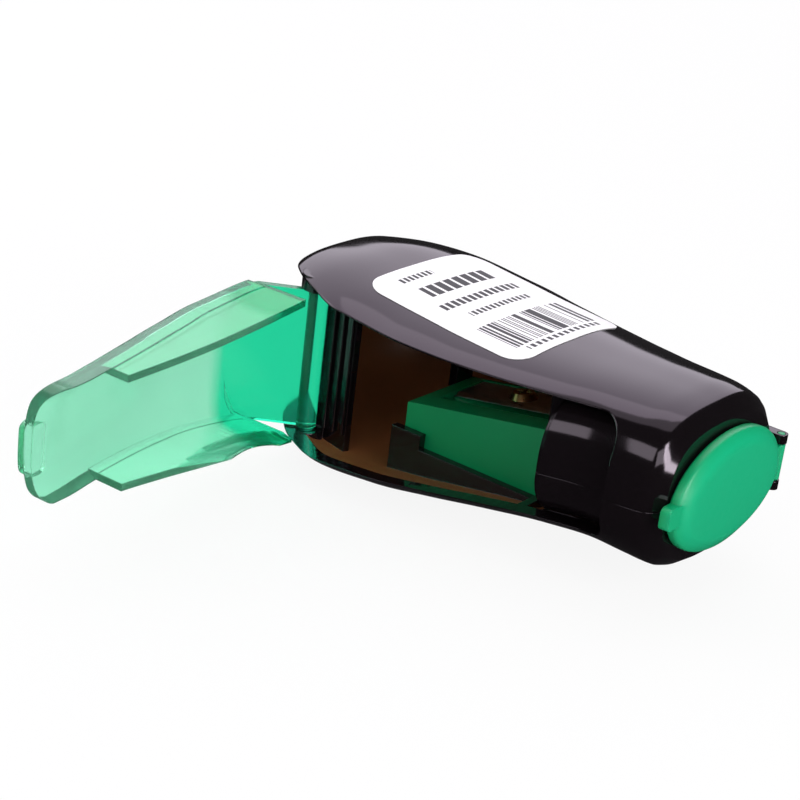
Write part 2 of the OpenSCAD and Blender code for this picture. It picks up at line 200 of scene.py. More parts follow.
def roundBox(w, h, r, steps=8, mid=(0, 0)):
    out = []
    for cx, cy, start in ((1, 1, 0), (-1, 1, 90), (-1, -1, 180), (1, -1, 270)):
        for k in range(steps + 1):
            a = radians(start + 90 * k / steps)
            out.append((mid[0] + cx * (w / 2 - r) + r * cos(a), mid[1] + cy * (h / 2 - r) + r * sin(a)))
    return out


def rod(name, centre, r, length, axis, mat=None, steps=64):
    # a cylinder from centre along axis
    turn = {"z": lambda a, b, d: (centre[0] + a, centre[1] + b, centre[2] + d),
            "x": lambda a, b, d: (centre[0] + d, centre[1] + a, centre[2] + b)}[axis]
    verts = [turn(r * cos(2 * pi * i / steps), r * sin(2 * pi * i / steps), 0) for i in range(steps)]
    verts += [turn(r * cos(2 * pi * i / steps), r * sin(2 * pi * i / steps), length) for i in range(steps)]
    faces = [tuple(range(steps)), tuple(range(steps, 2 * steps))]
    faces += [(i, (i + 1) % steps, steps + (i + 1) % steps, steps + i) for i in range(steps)]
    return meshPiece(name, verts, faces, mat)


def block(name, low, high, mat=None):
    return prism(name, [(low[0], low[1]), (high[0], low[1]), (high[0], high[1]), (low[0], high[1])],
                 low[2], high[2], "z", mat)


def bake(piece):
    deps = bpy.context.evaluated_depsgraph_get()
    mesh = bpy.data.meshes.new_from_object(piece.evaluated_get(deps))
    piece.modifiers.clear()
    piece.data = mesh
    return piece


def combine(base, tool, how, keepTool=False):
    cut = base.modifiers.new("cut", "BOOLEAN")
    cut.object = tool
    cut.operation = how
    cut.solver = "MANIFOLD"
    cut.material_mode = "TRANSFER"
    bake(base)
    if not keepTool:
        bpy.data.objects.remove(tool)
    return base


def less(base, *tools):
    for tool in tools:
        combine(base, tool, "DIFFERENCE")
    return base


def plus(base, *tools):
    for tool in tools:
        combine(base, tool, "UNION")
    return base


def within(base, tool, keepTool=False):
    return combine(base, tool, "INTERSECT", keepTool)


def twin(piece):
    other = piece.copy()
    other.data = piece.data.copy()
    bpy.context.scene.collection.objects.link(other)
    return other


def finishShading(piece, angle=32):
    mesh = piece.data
    mesh.shade_smooth()
    mesh.set_sharp_from_angle(angle=radians(angle))
    tidy = piece.modifiers.new("evenNormals", "WEIGHTED_NORMAL")
    tidy.mode = "FACE_AREA"
    tidy.weight = 60
    tidy.keep_sharp = True
    bake(piece)
    return piece


# materials
class Wire:
    # one socket, with arithmetic
    def __init__(self, tree, socket):
        self.tree, self.socket = tree, socket

    def maths(self, kind, *values):
        node = self.tree.nodes.new("ShaderNodeMath")
        node.operation = kind
        for slot, value in zip(node.inputs, values):
            if isinstance(value, Wire):
                self.tree.links.new(value.socket, slot)
            else:
                slot.default_value = value
        return Wire(self.tree, node.outputs[0])

    def __add__(self, other):
        return self.maths("ADD", self, other)
    def __radd__(self, other):
        return self.maths("ADD", other, self)
    def __sub__(self, other):
        return self.maths("SUBTRACT", self, other)
    def __rsub__(self, other):
        return self.maths("SUBTRACT", other, self)
    def __mul__(self, other):
        return self.maths("MULTIPLY", self, other)
    def __rmul__(self, other):
        return self.maths("MULTIPLY", other, self)
    def __truediv__(self, other):
        return self.maths("DIVIDE", self, other)
    def __gt__(self, other):
        return self.maths("GREATER_THAN", self, other)
    def __lt__(self, other):
        return self.maths("LESS_THAN", self, other)
    def __mod__(self, other):
        return self.maths("FLOORED_MODULO", self, other)
    def least(self, other):
        return self.maths("MINIMUM", self, other)
    def floor(self):
        return self.maths("FLOOR", self)
    def root(self):
        return self.maths("SQRT", self)


class Finish:
    def __init__(self, name, **steady):
        self.material = bpy.data.materials.new(name)
        self.material.use_nodes = True
        self.tree = self.material.node_tree
        self.shader = self.tree.nodes["Principled BSDF"]
        for key, value in steady.items():
            self.shader.inputs[key.replace("_", " ")].default_value = value

    def node(self, kind, out=0, settings=None, **sockets):
        node = self.tree.nodes.new(kind)
        for key, value in (settings or {}).items():
            setattr(node, key, value)
        for key, value in sockets.items():
            # i0, i1 and so on stand for a socket by its number
            numbered = key[0] == "i" and key[1:].isdigit()
            slot = node.inputs[int(key[1:]) if numbered else key.replace("_", " ")]
            if isinstance(value, Wire):
                self.tree.links.new(value.socket, slot)
            else:
                slot.default_value = value
        return Wire(self.tree, node.outputs[out])

    def spot(self):
        return self.node("ShaderNodeTexCoord", out="Object")

    def axes(self):
        split = self.tree.nodes.new("ShaderNodeSeparateXYZ")
        self.tree.links.new(self.spot().socket, split.inputs[0])
        return [Wire(self.tree, split.outputs[k]) for k in range(3)]

    def feed(self, socket, wire):
        self.tree.links.new(wire.socket, self.shader.inputs[socket])

    def mixColour(self, factor, a, b):
        node = self.tree.nodes.new("ShaderNodeMix")
        node.data_type = "RGBA"
        for index, value in ((0, factor), (6, a), (7, b)):
            if isinstance(value, Wire):
                self.tree.links.new(value.socket, node.inputs[index])
            else:
                node.inputs[index].default_value = value if index == 0 else (*value, 1)
        return Wire(self.tree, node.outputs[2])

    def softEdges(self, radius=0.0003, bump=None, strength=0.1, distance=0.0001):
        edge = self.node("ShaderNodeBevel", settings={"samples": 6}, Radius=radius)
        if bump is not None:
            edge = self.node("ShaderNodeBump", Strength=strength, Distance=distance,
                             Height=bump, Normal=edge)
        self.feed("Normal", edge)


blackPlastic = {"colour": (0.0034, 0.0024, 0.0030), "pale": (0.0048, 0.0034, 0.0042),
                "rough": 0.06, "haze": 0.07, "tint": (1.0, 0.86, 1.0, 1)}
def makeBlack():
    f = Finish("glossBlack", Specular_Tint=blackPlastic["tint"], IOR=1.59)
    haze = f.node("ShaderNodeTexNoise", Scale=38.0, Detail=3.0, Vector=f.spot())
    f.feed("Roughness", haze * blackPlastic["haze"] + blackPlastic["rough"])
    f.feed("Base Color", f.mixColour(haze, blackPlastic["colour"], blackPlastic["pale"]))
    ripple = f.node("ShaderNodeTexNoise", Scale=55.0, Detail=1.0, Vector=f.spot())
    f.softEdges(0.0003, ripple, 0.12, 0.0004)
    return f.material


innerBrown = {"pale": (0.34, 0.13, 0.045), "deep": (0.24, 0.09, 0.035)}
def makeInside():
    # the inner walls, where light through the plastic shows brown
    f = Finish("innerBlack", IOR=1.5)
    cloud = f.node("ShaderNodeTexNoise", Scale=60.0, Detail=4.0, Vector=f.spot())
    f.feed("Base Color", f.mixColour(cloud, innerBrown["pale"], innerBrown["deep"]))
    f.feed("Roughness", cloud * 0.15 + 0.24)
    f.softEdges(0.0003, cloud, 0.08, 0.0003)
    return f.material


greenBlock = {"colour": (0.0, 0.27, 0.095), "shade": (0.0, 0.235, 0.082)}
def makeBlockGreen():
    f = Finish("blockGreen", IOR=1.5)
    grain = f.node("ShaderNodeTexNoise", Scale=900.0, Detail=2.0, Vector=f.spot())
    cloud = f.node("ShaderNodeTexNoise", Scale=70.0, Detail=2.0, Vector=f.spot())
    f.feed("Base Color", f.mixColour(cloud, greenBlock["shade"], greenBlock["colour"]))
    f.feed("Roughness", cloud * 0.12 + 0.34)
    f.softEdges(0.0003, grain, 0.12, 0.00005)
    return f.material


# the cap's edge green is painted shade: the rounded side and the hinge strap, turned from the light, get a
# darker green than the face
greenCap = {"face": (0.001, 0.42, 0.19), "edge": (0.0, 0.31, 0.105), "from": 0.0262, "to": 0.0281}
def makeCapGreen():
    f = Finish("capGreenShadedEdge", IOR=1.5)
    x, y, z = f.axes()
    grain = f.node("ShaderNodeTexNoise", Scale=1100.0, Detail=2.0, Vector=f.spot())
    # painted shade: darker green from the back of the cap towards its face
    rim = f.node("ShaderNodeMapRange", i0=x, i1=greenCap["from"], i2=greenCap["to"])
    f.feed("Base Color", f.mixColour(rim, greenCap["edge"], greenCap["face"]))
    f.feed("Roughness", grain * 0.1 + 0.3)
    f.softEdges(0.0004, grain, 0.10, 0.00005)
    return f.material


greenDoor = {"colour": (0.36, 0.87, 0.62), "deep": (0.30, 0.84, 0.57), "plate": (0.02, 0.70, 0.37),
             "plateEnd": 0.0148, "panelStart": 0.0172}
def makeDoorGreen():
    f = Finish("clearGreen", IOR=1.45, Transmission_Weight=0.92)
    cloud = f.node("ShaderNodeTexNoise", Scale=45.0, Detail=3.0, Vector=f.spot())
    x, y, z = f.axes()
    # the end plate beside the hinge is the deepest in colour
    alongX, alongY = x + body["blockX"] / 1000, y + body["hingeSide"] / 1000
    fromHinge = (alongX * alongX + alongY * alongY).root()
    away = f.node("ShaderNodeMapRange", i0=fromHinge, i1=greenDoor["plateEnd"], i2=greenDoor["panelStart"])
    panel = f.mixColour(cloud, greenDoor["deep"], greenDoor["colour"])
    f.feed("Base Color", f.mixColour(away, greenDoor["plate"], panel))
    f.feed("Roughness", cloud * 0.14 + 0.08)
    f.softEdges(0.0003, cloud, 0.12, 0.0004)
    return f.material


def makeSteel():
    f = Finish("groundSteel", Metallic=1.0)
    lines = f.node("ShaderNodeTexNoise", Scale=300.0, Detail=3.0,
                   Vector=f.node("ShaderNodeMapping", Vector=f.spot(), Scale=(0.4, 8.0, 8.0)))
    f.feed("Base Color", f.mixColour(lines, (0.42, 0.42, 0.44), (0.62, 0.62, 0.64)))
    f.feed("Roughness", lines * 0.2 + 0.22)
    f.softEdges(0.00015, lines, 0.1, 0.00005)
    return f.material


def makeBrass():
    f = Finish("turnedBrass", Metallic=1.0)
    cloud = f.node("ShaderNodeTexNoise", Scale=400.0, Detail=2.0, Vector=f.spot())
    f.feed("Base Color", f.mixColour(cloud, (0.45, 0.26, 0.11), (0.68, 0.45, 0.22)))
    f.feed("Roughness", cloud * 0.2 + 0.2)
    f.softEdges(0.00015, cloud, 0.1, 0.00005)
    return f.material


# what is printed on the label, in millimetres from its middle
labelPrint = {
    "midX": 25.1, "ink": (0.03, 0.03, 0.035), "paper": (0.93, 0.92, 0.93), "greyPaper": (0.88, 0.87, 0.89),
    "bars": (4.6, 12.6, -11.4, 11.4), "barPitch": 0.28,
    # rows of blocks: from and to along the body, from and to across it, pitch, share filled
    "rows": [
        (-13.4, -12.0, -9.5, -1.0, 1.15, 0.62),
        (-9.6, -6.4, -8.6, 8.6, 2.3, 0.74),
        (-3.9, -2.1, -10.4, 9.8, 1.5, 0.66),
        (0.2, 1.5, -8.0, 8.4, 1.2, 0.6),
        (13.2, 14.3, -10.0, 10.0, 1.5, 0.58)],
}
def makeLabel():
    f = Finish("printedPaper", IOR=1.4)
    x, y, z = f.axes()
    u = x * 1000.0 + (body["blockX"] - labelPrint["midX"])   # along the body
    v = y * 1000.0                                            # across it
    inBox = lambda a, b, c, d: (u > a) * (u < b) * (v > c) * (v < d)
    step = f.node("ShaderNodeTexWhiteNoise", out="Value", settings={"noise_dimensions": "1D"},
                  W=(v / labelPrint["barPitch"]).floor())
    marks = (step > 0.5) * inBox(*labelPrint["bars"])
    for *box, pitch, fill in labelPrint["rows"]:
        marks = marks + ((v % pitch) < pitch * fill) * inBox(*box)
    fibre = f.node("ShaderNodeTexNoise", Scale=1500.0, Detail=3.0, Vector=f.spot())
    paper = f.mixColour(fibre, labelPrint["greyPaper"], labelPrint["paper"])
    f.feed("Base Color", f.mixColour(marks.least(1.0), paper, labelPrint["ink"]))
    f.feed("Roughness", fibre * 0.1 + 0.42)
    f.feed("Normal", f.node("ShaderNodeBump", Strength=0.1, Distance=0.00005, Height=fibre))
    return f.material


black, inner = makeBlack(), makeInside()
print("materials made")

# rows of ribs
ribTree = {"profileSteps": 4}
def makeRibTree():
    tree = bpy.data.node_groups.new("ribRow", "GeometryNodeTree")
    face = tree.interface
    face.new_socket("Geometry", in_out="OUTPUT", socket_type="NodeSocketGeometry")
    made = {}
    for name, kind, value in (("count", "NodeSocketInt", 3),
                              ("start", "NodeSocketVector", (0, 0, 0)),
                              ("step", "NodeSocketVector", (0, 0, 0)),
                              ("reach", "NodeSocketVector", (0, 0, 0.01)),
                              ("width", "NodeSocketFloat", 0.001),
                              ("depth", "NodeSocketFloat", 0.001),
                              ("corner", "NodeSocketFloat", 0.0002),
                              ("finish", "NodeSocketMaterial", None)):
        socket = face.new_socket(name, in_out="INPUT", socket_type=kind)
        if value is not None:
            socket.default_value = value
        made[name] = socket.identifier
    def add(kind, settings=None, **sockets):
        node = tree.nodes.new(kind)
        for key, value in (settings or {}).items():
            setattr(node, key, value)
        for key, value in sockets.items():
            slot = node.inputs[key.replace("_", " ")]
            if isinstance(value, bpy.types.NodeSocket):
                tree.links.new(value, slot)
            else:
                slot.default_value = value
        return node
    given = tree.nodes.new("NodeGroupInput").outputs
    points = add("GeometryNodeMeshLine", settings={"mode": "OFFSET"}, Count=given["count"],
                 Start_Location=given["start"], Offset=given["step"])
    spine = add("GeometryNodeCurvePrimitiveLine", End=given["reach"])
    outline = add("GeometryNodeCurvePrimitiveQuadrilateral", Width=given["width"], Height=given["depth"])
    soft = add("GeometryNodeFilletCurve", Curve=outline.outputs[0], Radius=given["corner"])
    if "Mode" in soft.inputs:
        soft.inputs["Mode"].default_value = "Poly"
        soft.inputs["Count"].default_value = ribTree["profileSteps"]
    else:
        soft.mode = "POLY"
        soft.inputs["Count"].default_value = ribTree["profileSteps"]
    bar = add("GeometryNodeCurveToMesh", Curve=spine.outputs[0],
              Profile_Curve=soft.outputs[0], Fill_Caps=True)
    copies = add("GeometryNodeInstanceOnPoints", Points=points.outputs[0], Instance=bar.outputs[0])
    solid = add("GeometryNodeRealizeInstances", Geometry=copies.outputs[0])
    done = add("GeometryNodeSetMaterial", Geometry=solid.outputs[0], Material=given["finish"])
    tree.links.new(done.outputs[0], tree.nodes.new("NodeGroupOutput").inputs[0])
    return tree, made


ribRowTree, ribSockets = makeRibTree()


def ribRow(name, mat, count, start, step, reach, width, depth, corner):
    # start, step and reach in body millimetres
    piece = bpy.data.objects.new(name, bpy.data.meshes.new(name))
    bpy.context.scene.collection.objects.link(piece)
    rule = piece.modifiers.new("rule", "NODES")
    rule.node_group = ribRowTree
    values = {"count": count, "start": place([start])[0], "step": [v / 1000 for v in step],
              "reach": [v / 1000 for v in reach], "width": width / 1000, "depth": depth / 1000,
              "corner": corner / 1000, "finish": mat}
    for key, value in values.items():
        rule[ribSockets[key]] = value
    bake(piece)
    bm = bmesh.new()
    bm.from_mesh(piece.data)
    bmesh.ops.remove_doubles(bm, verts=bm.verts, dist=1e-7)
    bmesh.ops.recalc_face_normals(bm, faces=bm.faces)
    bm.to_mesh(piece.data)
    bm.free()
    return piece


# the two half shells
shell = {
    "reach": 61.2, "topCorner": 4.0, "lowCorner": 2.5, "sideCut": -11.05,
    "rebate": 11.5, "rebateDepth": 1.85,
    "postWidth": 7.0, "postWall": 1.5, "slant": 52, "tailWall": 20.0, "lap": 0.8, "web": 1.3,
    "bossRadius": 3.0, "pinHole": 1.26, "pinDeep": 1.4,
    "tunnel": 5.0, "tunnelWall": 1.4, "mouthDepth": 1.8, "rimWidth": 1.6,
    "capWidth": 31.0, "capHeight": 19.4,
}
roofZ, floorZ = lipTop(0) + 0.05, lipBottom(0) - 0.05
bossZ = roofZ - 2
hingePoint = (0, -body["hingeSide"])
postFront = -body["hingeSide"] + 2
rebateX = shell["reach"] - shell["rebate"]
bulkheadX = body["blockX"] + 0.25
mouthX = noseX - shell["mouthDepth"]


def openingOutline(grow, start=0.0, steps=60):
    reach, top, low = shell["reach"], shell["topCorner"], shell["lowCorner"]
    out = [(start, lipTop(0) + grow)]
    for i in range(steps + 1):
        x = (reach - top) * i / steps
        if x > start:
            out.append((x, lipTop(x) + grow))
    for k in range(1, 11):
        a = radians(9 * k)
        out.append((reach - top + (top + grow) * sin(a),
                    lipTop(reach - top) - top + (top + grow) * cos(a)))
    for k in range(0, 11):
        a = radians(9 * k)
        out.append((reach - low + (low + grow) * cos(a),
                    lipBottom(reach - low) + low - (low + grow) * sin(a)))
    for i in range(steps, -1, -1):
        x = (reach - low) * i / steps
        if x > start:
            out.append((x, lipBottom(x) - grow))
    out.append((start, lipBottom(0) - grow))
    return out


tailX = -1 - shell["tailWall"] * cos(radians(shell["slant"]))
tailY = postFront + shell["tailWall"] * sin(radians(shell["slant"]))
cornerPlan = [(-far, -far), (shell["lap"], -far), (shell["lap"], postFront),
              (-1, postFront), (tailX, tailY), (-far, tailY)]
wholeSquare = [(-far, -far), (far, -far), (far, far), (-far, far)]


def sideWindow(name, outline, cutFrom=None, mat=None):
    piece = prism(name, outline, -far, shell["sideCut"], "y", mat)
    if cutFrom is not None:
        within(piece, block("keep", (cutFrom, -far - 1, -far), (far, far, far)))
    return piece


def hollow(name, outerInset, innerInset, outMat, inMat):
    outer = bodyLoft(name, outerInset, body["ringPoints"], body["rings"], outMat)
    return less(outer, bodyLoft("hollow", innerInset, body["insidePoints"], body["insideRings"], inMat))


def makeShell():
    case = hollow("case", 0, body["wall"], black, inner)
    rims = 2 * shell["rimWidth"]
    mouth = ringOutline(shell["capWidth"] - rims, shell["capHeight"] - rims)
    less(case, sideWindow("window", openingOutline(0), mat=black),
         prism("corner", cornerPlan, floorZ, roofZ, "z", black),
         prism("mouth", mouth, mouthX, noseX + 1, "x", black))
    print("casing cut")
    lining = bodyLoft("lining", body["wall"] / 2, 96, 64, black)
    # walls beside the hinge
    a = radians(180 - shell["slant"])
    along, across = (cos(a), sin(a)), (-sin(a), cos(a))
    t = shell["postWall"]
    end = (-1 + shell["tailWall"] * along[0], postFront + shell["tailWall"] * along[1])
    slantWall = [(-1, postFront), end, (end[0] - t * across[0], end[1] - t * across[1]),
                 (-1 - t * across[0], postFront - t * across[1])]
    walls = block("walls", (-1, postFront, -far), (shell["postWidth"], postFront + t, far), black)
    plus(walls, prism("slantWall", slantWall, -far, far, "z", black))
    parts = [walls,
             prism("roofWeb", cornerPlan, roofZ, roofZ + shell["web"], "z", black),
             prism("floorWeb", cornerPlan, floorZ - shell["web"], floorZ, "z", black),
             prism("noseWall", wholeSquare, mouthX - t, mouthX, "x", black),
             rod("tunnelTube", (bulkheadX, 0, -body["pencilDrop"]),
                 shell["tunnel"] + shell["tunnelWall"], mouthX - bulkheadX, "x", black)]
    # the wall behind the block steps back to the rebate beside the opening
    stepY = shell["sideCut"] + 0.45
    bulkhead = prism("bulkhead", wholeSquare, bulkheadX, bulkheadX + t, "x", black)
    less(bulkhead, prism("rimRoom", openingOutline(0.17), -far - 1, stepY - 0.05, "y", black))
    step = block("stepWall", (bulkheadX + 0.1, stepY, -far), (rebateX + 0.8, stepY + t, far), black)
    plateX = rebateX - 0.55
    plus(step, block("stepPlate", (plateX, -far, -far), (plateX + t, stepY + 0.55, far), black))
    notch = prism("notch", openingOutline(0.13), -far - 1, stepY - 0.1, "y", black)
    less(step, less(notch, bodyLoft("notchInner", shell["rebateDepth"] + 0.4, 96, 64, black)))
    parts += [bulkhead, step]
    for part in parts:
        within(part, lining, True)
        plus(case, part)
    print("walls added")
    skin = hollow("skin", shell["rebateDepth"], shell["rebateDepth"] + t, black, inner)
    within(skin, sideWindow("skinArea", openingOutline(shell["rebateDepth"]), rebateX))
    rim = twin(lining)
    less(rim, bodyLoft("rimBack", shell["rebateDepth"] + t, 96, 64, black))
    frameRing = sideWindow("ringArea", openingOutline(t), rebateX - 0.7)
    less(frameRing, sideWindow("ringHole", openingOutline(0.04)))
    within(rim, frameRing)
    plus(case, skin, rim)
    bpy.data.objects.remove(lining)
    return case


case = makeShell()
print("shell made", len(case.data.polygons))

cradle = {"wall": 1.5, "gap": 0.15, "post": 6.0, "rise": 0.4, "postRise": 2.9, "rib": 1.6, "deep": 20.0,
          "blockLength": 28.0, "blockWidth": 18.0, "blockHeight": 12.0, "tipHeight": 7.1}
blockTipX = body["blockX"] - cradle["blockLength"]
blockTop = -body["pencilDrop"] + 4.1 + 1.4
blockLow = blockTop - cradle["blockHeight"]
capHinge = {"x": noseX + 0.3 + 1.0, "y": shell["capWidth"] / 2 + 0.7, "knuckle": 6.0,
            "gap": 0.25, "ear": 1.5, "back": 4.2, "half": 1.1, "pin": 0.66}


def cradleParts():
    side = cradle["blockWidth"] / 2 + cradle["gap"]
    t, deep = cradle["wall"], cradle["deep"]
    startX = blockTipX - t
    parts = []
    for y in (-side - t, side):
        high = blockLow + cradle["rise"]
        parts.append(block("cradleWall", (startX, y, high - deep), (bulkheadX + 0.05, y + t, high), black))
        high = blockLow + cradle["postRise"]
        endX = startX + cradle["post"]
        parts.append(block("cradlePost", (startX, y, high - deep), (endX, y + t, high), black))
    for i in (1, 2, 3):
        x = blockTipX + i * cradle["blockLength"] / 4
        high, half = blockLow - cradle["gap"], cradle["rib"] / 2
        parts.append(block("cradleRib", (x - half, -side, high - deep), (x + half, side, high), black))
    x = blockTipX - cradle["gap"] - cradle["rib"]
    high, half = blockLow + cradle["tipHeight"] / 2, cradle["blockWidth"] / 4
    parts.append(block("stopRib", (x, -half, high - deep), (x + cradle["rib"], half, high), black))
    return parts


def splitShell():
    halfGap = body["seam"] / 2
    upper, lower = twin(case), case
    within(upper, block("above", (-far, -far, halfGap), (far, far, far)))
    within(lower, block("below", (-far, -far, -far), (far, far, -halfGap)))
    lining = bodyLoft("lining", body["wall"] / 2, 96, 64, black)
    keeperX, quarter = blockTipX - cradle["gap"], cradle["blockWidth"] / 4
    keeper = block("keeper", (keeperX - cradle["rib"], quarter, blockLow + cradle["tipHeight"] - 1),
                   (keeperX, 2 * quarter, far / 2), black)
    plus(upper, within(keeper, lining, True))
    for part in cradleParts():
        plus(lower, within(part, lining, True))
    bossR, bossDeep = shell["bossRadius"], 2 * shell["pinDeep"]
    plus(upper, rod("bossTop", (*hingePoint, bossZ), bossR, roofZ - bossZ + shell["web"] / 2, "z", black))
    bossLow = rod("bossLow", (*hingePoint, floorZ - bossDeep), bossR, bossDeep, "z", black)
    plus(lower, within(bossLow, lining, True))
    bpy.data.objects.remove(lining)
    h = capHinge
    for piece, sign in ((upper, 1), (lower, -1)):
        middle = sign * (h["knuckle"] / 2 + h["gap"] + h["ear"] / 2)
        ear = block("ear", (h["x"] - h["back"], h["y"] - h["half"], middle - h["ear"] / 2),
                    (h["x"], h["y"] + h["half"], middle + h["ear"] / 2), black)
        end = rod("earEnd", (h["x"], h["y"], middle - h["ear"] / 2), h["half"], h["ear"], "z", black, 48)
        plus(piece, ear, end)
        hole = rod("earHole", (h["x"], h["y"], middle - h["ear"]), h["pin"], 2 * h["ear"], "z", black, 32)
        tunnel = rod("tunnel", (body["blockX"], 0, -body["pencilDrop"]), shell["tunnel"],
                     noseX - body["blockX"] + 1, "x", black)
        less(piece, hole, tunnel)
    holeR, deep = shell["pinHole"], shell["pinDeep"]
    less(upper, rod("pinHole", (*hingePoint, bossZ - 1), holeR, roofZ - bossZ + 1, "z", black, 32))
    less(lower, rod("pinHole", (*hingePoint, floorZ - deep), holeR, deep + 1, "z", black, 32))
    return upper, lower


upperShell, lowerShell = splitShell()
for piece, name, node in ((upperShell, "upperCase", "upper_shell"),
                          (lowerShell, "lowerCase", "lower_shell")):
    piece.name = name
    finishShading(piece)
    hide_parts(node)
    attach(piece, "body")
    print(name, len(piece.data.polygons))

# raised ribs on the wall beside the hinge
hingeRibs = {"count": 3, "first": 2.6, "pitch": 1.9, "width": 0.7, "depth": 0.9, "corner": 0.2, "gap": 0.3}
ribGap = hingeRibs["gap"]
ribs = ribRow("hingeRibs", black, hingeRibs["count"], (hingeRibs["first"], postFront - 0.2, floorZ + ribGap),
              (hingeRibs["pitch"], 0, 0), (0, 0, roofZ - floorZ - 2 * ribGap),
              hingeRibs["width"], hingeRibs["depth"], hingeRibs["corner"])
finishShading(ribs)
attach(ribs, "body")

# door
door = {"open": 88, "wall": 1.5, "gap": 0.35, "rimDepth": 5.5, "rim": 1.3,
        "plateAngle": -56.5, "plate": 16.2, "knuckle": 1.7, "pin": 1.2,
        "nubWidth": 3.6, "nubHeight": 8.4, "nubRise": 1.2}
doorLow, doorHigh = floorZ + door["gap"], bossZ - door["gap"]
plateFarX = door["plate"] * cos(radians(door["plateAngle"]))


def makeDoor(mat):
    def area(outline, low, high):
        piece = prism("area", outline, -far, shell["sideCut"], "y", mat)
        return within(piece, block("span", (low, -far - 1, -far), (high, far, far)))
    panel = hollow("door", 0, door["wall"], mat, mat)
    within(panel, area(openingOutline(-door["gap"]), plateFarX - 0.4, far))
    rim = hollow("rim", door["wall"] / 2, door["rimDepth"], mat, mat)
    ring = area(openingOutline(-door["gap"] - 0.1), plateFarX - 1, rebateX - 1 - door["gap"])
    less(ring, prism("ringHole", openingOutline(-door["gap"] - door["rim"]), -far - 1, far, "y"))
    within(rim, ring)
    plus(panel, rim)
    # end plate from the hinge to the tail end of the panel
    a = radians(door["plateAngle"])
    along, across = (cos(a), sin(a)), (-sin(a), cos(a))
    half, reach = door["wall"] / 2, door["plate"] + 2
    corners = [(hingePoint[0] + u * along[0] + v * across[0], hingePoint[1] + u * along[1] + v * across[1])
               for u, v in ((0, -half), (reach, -half), (reach, half), (0, half))]
    plate = prism("plate", corners, doorLow, doorHigh, "z", mat)
    plus(panel, within(plate, bodyLoft("skin", 0.01, 96, 64, mat)))
    nub = hollow("nub", -door["nubRise"], door["wall"] / 2, mat, mat)
    right = shell["reach"] - door["gap"] - 0.2
    tabShape = roundBox(door["nubWidth"], door["nubHeight"], 1.2, 6, (right - door["nubWidth"] / 2, 0))
    tab = prism("tab", tabShape, -far, shell["sideCut"], "y", mat)
    plus(panel, within(nub, tab))
    plus(panel, rod("knuckle", (*hingePoint, doorLow), door["knuckle"], doorHigh - doorLow, "z", mat, 48),
         rod("pin", (*hingePoint, floorZ - 1.2), door["pin"], roofZ - floorZ + 0.9, "z", mat, 48))
    return panel


def swing(piece, angle):
    centre = Vector(place([(hingePoint[0], hingePoint[1], 0)])[0])
    there, back = Matrix.Translation(centre), Matrix.Translation(-centre)
    turn = there @ Matrix.Rotation(radians(angle), 4, "Z") @ back
    piece.data.transform(turn)
    return piece


clearGreen = makeDoorGreen()
doorPiece = swing(makeDoor(clearGreen), -door["open"])
doorPiece.name = "shavingsDoor"
finishShading(doorPiece)
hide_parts("shavings_door")
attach(doorPiece, "door")
print("door made", len(doorPiece.data.polygons))

# label
label = {"length": 32.0, "width": 30.0, "corner": 4.0, "lift": 0.03, "thick": 0.1, "rows": 72, "cols": 84}


def makeLabelPiece(mat):
    verts, faces = [], []
    rows, cols = label["rows"], label["cols"]
    for lift in (label["lift"], label["lift"] + label["thick"]):
        for i in range(rows + 1):
            s = label["length"] / 2 * sin(-pi / 2 + pi * i / rows)
            over = max(0, abs(s) - label["length"] / 2 + label["corner"])
            half = label["width"] / 2 - label["corner"] + max(0.01, label["corner"] ** 2 - over ** 2) ** 0.5
            for j in range(cols + 1):
                x, y = labelPrint["midX"] + s, half * (2 * j / cols - 1)
                verts.append((x, y, roofAt(x, y) + lift))
    n, top = cols + 1, (cols + 1) * (rows + 1)
    for i in range(rows):
        for j in range(cols):
            a = i * n + j
            faces += [(a, a + 1, a + n + 1, a + n), (top + a, top + a + n, top + a + n + 1, top + a + 1)]
    edge = list(range(n)) + [i * n + n - 1 for i in range(1, rows + 1)]
    edge += [rows * n + j for j in range(n - 2, -1, -1)] + [i * n for i in range(rows - 1, 0, -1)]
    faces += [(a, b, top + b, top + a) for a, b in zip(edge, edge[1:] + edge[:1])]
    return meshPiece("paperLabel", verts, faces, mat)


labelPiece = finishShading(makeLabelPiece(makeLabel()))
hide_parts("label")
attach(labelPiece, "body")
print("label made")

# cap
cap = {"width": 31.0, "height": 19.4, "thick": 3.1, "gap": 0.3, "pin": 0.6, "knuckle": 1.0, "steps": 160,
       "tabWidth": 3.6, "tabLength": 2.4}


